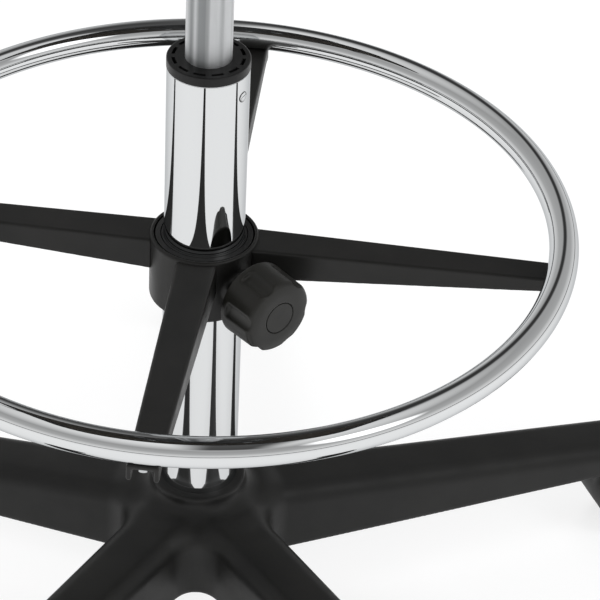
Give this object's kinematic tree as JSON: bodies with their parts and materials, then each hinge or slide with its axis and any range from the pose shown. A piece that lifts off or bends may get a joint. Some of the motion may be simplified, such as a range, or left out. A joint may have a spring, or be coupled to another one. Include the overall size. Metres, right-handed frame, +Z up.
{
  "type": "drafting chair",
  "caption": "Drafting chair with a star base on twin-wheel casters, gas-lift column, clamped chrome foot ring, lever-operated seat mechanism, padded seat and adjustable padded back.",
  "frame": {"origin": "point on the floor under the column axis", "axes": "+Z up along the column, -Y the way the sitter faces, +X the sitter's left"},
  "size_m": [0.664, 0.6326, 1.3046],
  "materials": {
    "base_nylon": "fine-grained moulded nylon",
    "chrome": "bright chrome plate on steel tube",
    "bush_plastic": "moulded black plastic",
    "bright_steel": "bright zinc-plated steel",
    "brushed_cylinder": "brushed satin metal",
    "buffer_rubber": "black rubber",
    "spider_black": "glass-filled nylon, fine grain",
    "knob_plastic": "satin moulded plastic",
    "painted_steel": "black powder coat",
    "plywood": "birch plywood, raw",
    "upholstery": "black woven upholstery over foam",
    "shell_plastic": "textured moulded plastic",
    "caster_nylon": "satin moulded nylon",
    "wheel_nylon": "moulded nylon"
  },
  "bodies": {
    "base": {"base_star": "base_nylon", "column_tube": "chrome", "column_bush": "bush_plastic", "bush_rivet": "bright_steel", "bearing_lower_race": "bright_steel", "caster_stem_1": "bright_steel", "caster_stem_2": "bright_steel", "caster_stem_3": "bright_steel", "caster_stem_4": "bright_steel", "caster_stem_5": "bright_steel"},
    "cage": {"bearing_cage": "bright_steel"},
    "rod": {"piston_rod": "bright_steel", "bearing_upper_race": "bright_steel", "retaining_clip": "bright_steel", "rebound_buffer": "buffer_rubber"},
    "seat": {"gas_cylinder": "brushed_cylinder", "seat_plate": "painted_steel", "seat_board": "plywood", "seat_cushion": "upholstery", "seat_bolts": "bright_steel", "lever_pivot": "bright_steel"},
    "pin": {"release_pin": "bright_steel"},
    "lever": {"height_lever": "painted_steel", "lever_grip": "knob_plastic"},
    "bar": {"back_bar": "painted_steel"},
    "bar_knob": {"bar_knob": "knob_plastic"},
    "back": {"back_carrier": "shell_plastic", "back_shell": "shell_plastic", "back_cushion": "upholstery"},
    "carrier_knob": {"carrier_knob": "knob_plastic"},
    "ring_sleeve": {"ring_liner": "bush_plastic"},
    "ring": {"ring_spider": "spider_black", "foot_ring": "chrome", "ring_collar": "bush_plastic", "ring_screws": "bright_steel"},
    "shoe": {"clamp_shoe": "bush_plastic"},
    "clamp": {"clamp_knob": "knob_plastic", "knob_cap": "knob_plastic", "clamp_stud": "bright_steel"},
    "caster_1": {"caster_hood_1": "caster_nylon", "caster_axle_1": "bright_steel"},
    "wheel_left_1": {"caster_wheel_left_1": "wheel_nylon"},
    "wheel_right_1": {"caster_wheel_right_1": "wheel_nylon"},
    "caster_2": {"caster_hood_2": "caster_nylon", "caster_axle_2": "bright_steel"},
    "wheel_left_2": {"caster_wheel_left_2": "wheel_nylon"},
    "wheel_right_2": {"caster_wheel_right_2": "wheel_nylon"},
    "caster_3": {"caster_hood_3": "caster_nylon", "caster_axle_3": "bright_steel"},
    "wheel_left_3": {"caster_wheel_left_3": "wheel_nylon"},
    "wheel_right_3": {"caster_wheel_right_3": "wheel_nylon"},
    "caster_4": {"caster_hood_4": "caster_nylon", "caster_axle_4": "bright_steel"},
    "wheel_left_4": {"caster_wheel_left_4": "wheel_nylon"},
    "wheel_right_4": {"caster_wheel_right_4": "wheel_nylon"},
    "caster_5": {"caster_hood_5": "caster_nylon", "caster_axle_5": "bright_steel"},
    "wheel_left_5": {"caster_wheel_left_5": "wheel_nylon"},
    "wheel_right_5": {"caster_wheel_right_5": "wheel_nylon"}
  },
  "joints": [
    {"name": "seat_swivel", "type": "hinge", "parent": "base", "child": "rod", "pos_m": [0, 0, 0.06], "axis": [0, 0, 1], "continuous": true},
    {"name": "bearing_turn", "type": "hinge", "parent": "base", "child": "cage", "pos_m": [0, 0, 0.05742], "axis": [0, 0, 1], "continuous": true},
    {"name": "seat_height", "type": "slide", "parent": "rod", "child": "seat", "axis": [0, 0, 1], "range_m": [-0.25, 0]},
    {"name": "lever_lift", "type": "hinge", "parent": "seat", "child": "lever", "pos_m": [-0.026, 0, 0.7486], "axis": [0, 1, 0], "range_deg": [0, 6], "stiffness_Nm_per_rad": 3, "springref_deg": -8.59},
    {"name": "pin_press", "type": "slide", "parent": "seat", "child": "pin", "axis": [0, 0, 1], "range_m": [-0.0031, 0]},
    {"name": "back_depth", "type": "slide", "parent": "seat", "child": "bar", "axis": [0, 1, 0], "range_m": [-0.025, 0.025]},
    {"name": "depth_knob_turn", "type": "hinge", "parent": "seat", "child": "bar_knob", "pos_m": [0, 0.073, 0.69755], "axis": [0, 0, -1], "range_deg": [0, 180]},
    {"name": "back_height", "type": "slide", "parent": "bar", "child": "back", "axis": [0, 0, 1], "range_m": [-0.045, 0.04]},
    {"name": "height_knob_turn", "type": "hinge", "parent": "back", "child": "carrier_knob", "pos_m": [0, 0.288, 1.0196], "axis": [0, 1, 0], "range_deg": [0, 180]},
    {"name": "ring_height", "type": "slide", "parent": "base", "child": "ring_sleeve", "axis": [0, 0, 1], "range_m": [-0.13, 0.1]},
    {"name": "ring_turn", "type": "hinge", "parent": "ring_sleeve", "child": "ring", "pos_m": [0, 0, 0.314], "axis": [0, 0, 1], "continuous": true},
    {"name": "shoe_press", "type": "slide", "parent": "ring", "child": "shoe", "axis": [0.6293, -0.7771, 0], "range_m": [0, 0.0023]},
    {"name": "clamp_turn", "type": "hinge", "parent": "shoe", "child": "clamp", "pos_m": [0.03147, -0.03886, 0.2845], "axis": [0.6293, -0.7771, 0], "range_deg": [0, 540]},
    {"name": "caster_swivel_1", "type": "hinge", "parent": "base", "child": "caster_1", "pos_m": [0.28532, 0.0927, 0.045], "axis": [0, 0, 1], "continuous": true},
    {"name": "wheel_left_spin_1", "type": "hinge", "parent": "caster_1", "child": "wheel_left_1", "pos_m": [0.30223, 0.09886, 0.025], "axis": [-0.342, 0.9397, 0], "continuous": true},
    {"name": "wheel_right_spin_1", "type": "hinge", "parent": "caster_1", "child": "wheel_right_1", "pos_m": [0.30223, 0.09886, 0.025], "axis": [-0.342, 0.9397, 0], "continuous": true},
    {"name": "caster_swivel_2", "type": "hinge", "parent": "base", "child": "caster_2", "pos_m": [0, 0.3, 0.045], "axis": [0, 0, 1], "continuous": true},
    {"name": "wheel_left_spin_2", "type": "hinge", "parent": "caster_2", "child": "wheel_left_2", "pos_m": [0, 0.318, 0.025], "axis": [-1, 0, 0], "continuous": true},
    {"name": "wheel_right_spin_2", "type": "hinge", "parent": "caster_2", "child": "wheel_right_2", "pos_m": [0, 0.318, 0.025], "axis": [-1, 0, 0], "continuous": true},
    {"name": "caster_swivel_3", "type": "hinge", "parent": "base", "child": "caster_3", "pos_m": [-0.28532, 0.0927, 0.045], "axis": [0, 0, 1], "continuous": true},
    {"name": "wheel_left_spin_3", "type": "hinge", "parent": "caster_3", "child": "wheel_left_3", "pos_m": [-0.30006, 0.08238, 0.025], "axis": [0.5736, -0.8192, 0], "continuous": true},
    {"name": "wheel_right_spin_3", "type": "hinge", "parent": "caster_3", "child": "wheel_right_3", "pos_m": [-0.30006, 0.08238, 0.025], "axis": [0.5736, -0.8192, 0], "continuous": true},
    {"name": "caster_swivel_4", "type": "hinge", "parent": "base", "child": "caster_4", "pos_m": [-0.17634, -0.24271, 0.045], "axis": [0, 0, 1], "continuous": true},
    {"name": "wheel_left_spin_4", "type": "hinge", "parent": "caster_4", "child": "wheel_left_4", "pos_m": [-0.18249, -0.25962, 0.025], "axis": [0.9397, -0.342, 0], "continuous": true},
    {"name": "wheel_right_spin_4", "type": "hinge", "parent": "caster_4", "child": "wheel_right_4", "pos_m": [-0.18249, -0.25962, 0.025], "axis": [0.9397, -0.342, 0], "continuous": true},
    {"name": "caster_swivel_5", "type": "hinge", "parent": "base", "child": "caster_5", "pos_m": [0.17634, -0.24271, 0.045], "axis": [0, 0, 1], "continuous": true},
    {"name": "wheel_left_spin_5", "type": "hinge", "parent": "caster_5", "child": "wheel_left_5", "pos_m": [0.18534, -0.25829, 0.025], "axis": [0.866, 0.5, 0], "continuous": true},
    {"name": "wheel_right_spin_5", "type": "hinge", "parent": "caster_5", "child": "wheel_right_5", "pos_m": [0.18534, -0.25829, 0.025], "axis": [0.866, 0.5, 0], "continuous": true}
  ],
  "couplings": [
    {"joint": "bearing_turn", "follows": "seat_swivel", "ratio": 0.5},
    {"joint": "pin_press", "follows": "lever_lift", "m_per_rad": -0.0288},
    {"joint": "shoe_press", "follows": "clamp_turn", "m_per_rad": 0.00023873}
  ]
}
